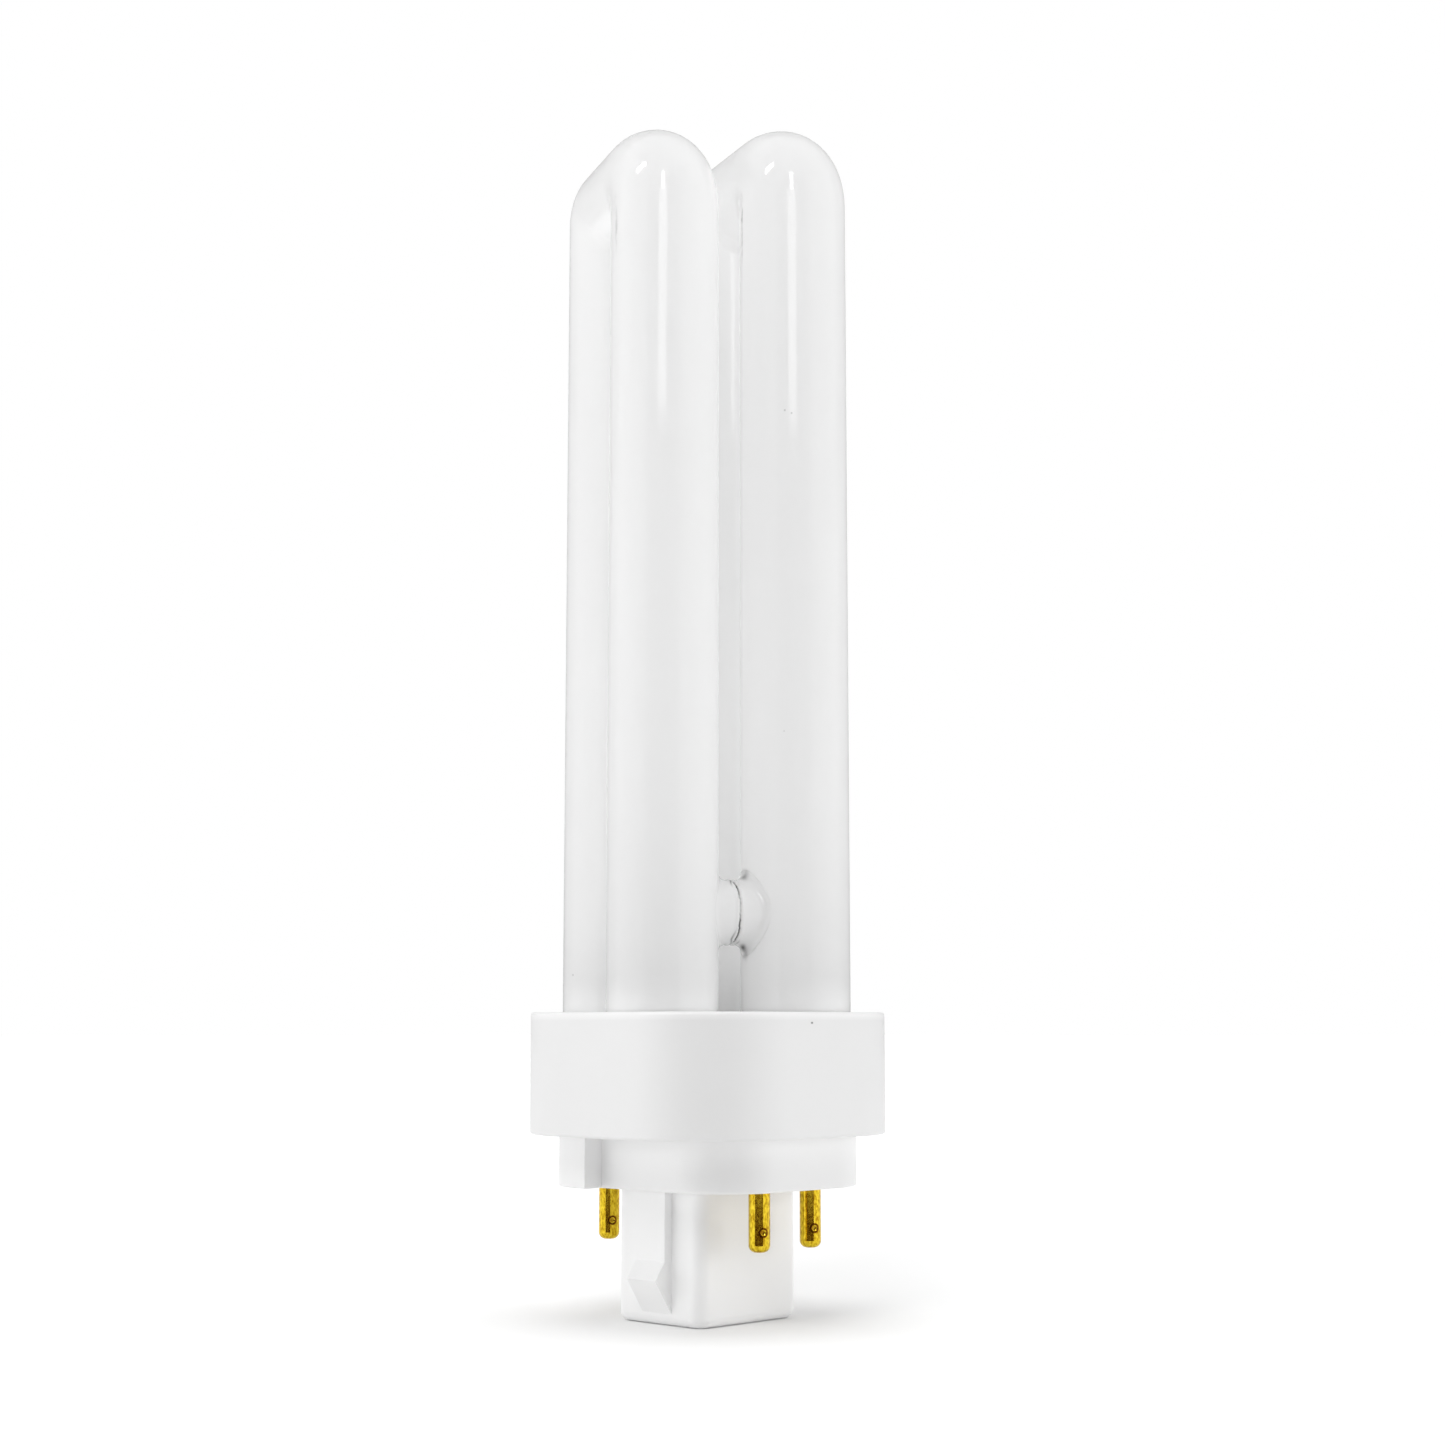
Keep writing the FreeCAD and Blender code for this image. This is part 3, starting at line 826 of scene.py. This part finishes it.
def black_card_material():
    """Black card."""
    material, _, shader = new_material("black_card")
    shader.inputs["Base Color"].default_value = (*grey(BLACK_CARD_LEVEL), 1)
    shader.inputs["Roughness"].default_value = 1.0
    shader.inputs["Specular IOR Level"].default_value = 0.0
    return material


def even_card_material(name, colour):
    """Card that shows the same colour whatever light falls on it."""
    material, tree, _ = new_material(name)
    glow = add_node(tree, "ShaderNodeEmission", Color=(*colour, 1))
    surface(tree, glow.outputs["Emission"])
    return material


def soft_box(name, place, width, height, watts, roll):
    """A rectangular light that points at the object's middle, rolled about its own aim."""
    light = bpy.data.lights.new(name, "AREA")
    light.shape = "RECTANGLE"
    light.size = width
    light.size_y = height
    light.energy = watts
    lamp = bpy.data.objects.new(name, light)
    lamp.location = place
    aim = np.array([0, 0, AIM_HEIGHT]) - np.array(place)
    tilt = math.pi / 2 + math.atan2(aim[2], math.hypot(aim[0], aim[1]))
    heading = math.atan2(aim[1], aim[0]) - math.pi / 2
    roll_turn = Matrix.Rotation(math.radians(roll), 3, "Z")
    lamp.rotation_euler = (Euler((tilt, 0, heading)).to_matrix() @ roll_turn).to_euler()
    bpy.context.scene.collection.objects.link(lamp)
    return lamp


stage_plane("floor", [(-FLOOR_REACH, -FLOOR_REACH, 0), (FLOOR_REACH, -FLOOR_REACH, 0),
                      (FLOOR_REACH, FLOOR_REACH, 0), (-FLOOR_REACH, FLOOR_REACH, 0)],
            floor_material())

# Behind the camera: soft grey on the faces that look there
upright_card("black_card", BLACK_CARD, black_card_material())

# Behind the object: the gloss shows it along the edges of the glass
grey_card = even_card_material("grey_card", grey(GREY_CARD_LEVEL))
show_in_gloss_only(upright_card("rim_card", RIM_CARD, grey_card))

# On the floor in front: the pins show it as the stripe down their middle
show_in_gloss_only(stage_plane("pin_card", [
    studio_place(-PIN_CARD_LEFT * PIN_CARD_NEAR, PIN_CARD_NEAR, PIN_CARD_Z),
    studio_place(PIN_CARD_RIGHT * PIN_CARD_NEAR, PIN_CARD_NEAR, PIN_CARD_Z),
    studio_place(PIN_CARD_RIGHT * PIN_CARD_FAR, PIN_CARD_FAR, PIN_CARD_Z),
    studio_place(-PIN_CARD_LEFT * PIN_CARD_FAR, PIN_CARD_FAR, PIN_CARD_Z)],
    even_card_material("brown_card", BROWN_CARD_COLOUR)))

# Lights as (name, place, width, height, watts, roll in degrees). The first three show only
# in gloss, as the streaks down the tubes and the spots on their bends. The others never do
GLOSS_LIGHTS = [
    ("streak_lamp", studio_place(-0.04, 1.05, 0.50), 0.34, 0.24, 1.1, 0),
    ("upper_streak_lamp", studio_place(-0.03, 0.85, 0.74), 0.13, 0.40, 2.4, 0),
    ("spot_lamp", studio_place(-0.80, 0.44, 1.12), 0.15, 0.40, 7.0, -40),
]
PLAIN_LIGHTS = [
    ("front_lamp", studio_place(-0.3, 0.9, 1.0), 0.5, 0.4, 3.8, 0),
    ("left_lamp", studio_place(-0.95, 0.1, 0.15), 1.0, 0.3, 2.3, 0),
    ("right_lamp", studio_place(0.95, 0.1, 0.15), 1.0, 0.3, 2.7, 0),
]
TOP_LIGHT = ("top_lamp", (0.0, 0.0, 1.6), 1.5, 1.5, 8, 0)
for gloss_light in GLOSS_LIGHTS:
    lamp = soft_box(*gloss_light)
    lamp.visible_diffuse = False
    lamp.visible_transmission = False
for plain_light in PLAIN_LIGHTS:
    soft_box(*plain_light).visible_glossy = False
top_lamp = soft_box(*TOP_LIGHT)
top_lamp.visible_glossy = False
top_lamp.visible_transmission = False

world = bpy.data.worlds.new("studio")
world.use_nodes = True
bpy.context.scene.world = world
background = world.node_tree.nodes["Background"]
background.inputs["Color"].default_value = (1, 1, 1, 1)
seen = seen_directly(world.node_tree)
world_level = move_range(world.node_tree, seen, (0, 1), (WORLD_LIGHT, 1))
wire(world.node_tree, world_level, background.inputs["Strength"])

bpy.context.scene.view_settings.view_transform = "Standard"

camera_data = bpy.data.cameras.new("camera")
camera_data.sensor_width = SENSOR
camera_data.lens = LENS
camera_data.clip_start = CLIP_START
camera = bpy.data.objects.new("camera", camera_data)
camera.location = CAMERA_PLACE
camera.rotation_euler = (math.pi / 2 + CAMERA_PITCH, 0, CAMERA_HEADING - math.pi / 2)
bpy.context.scene.collection.objects.link(camera)
bpy.context.scene.camera = camera
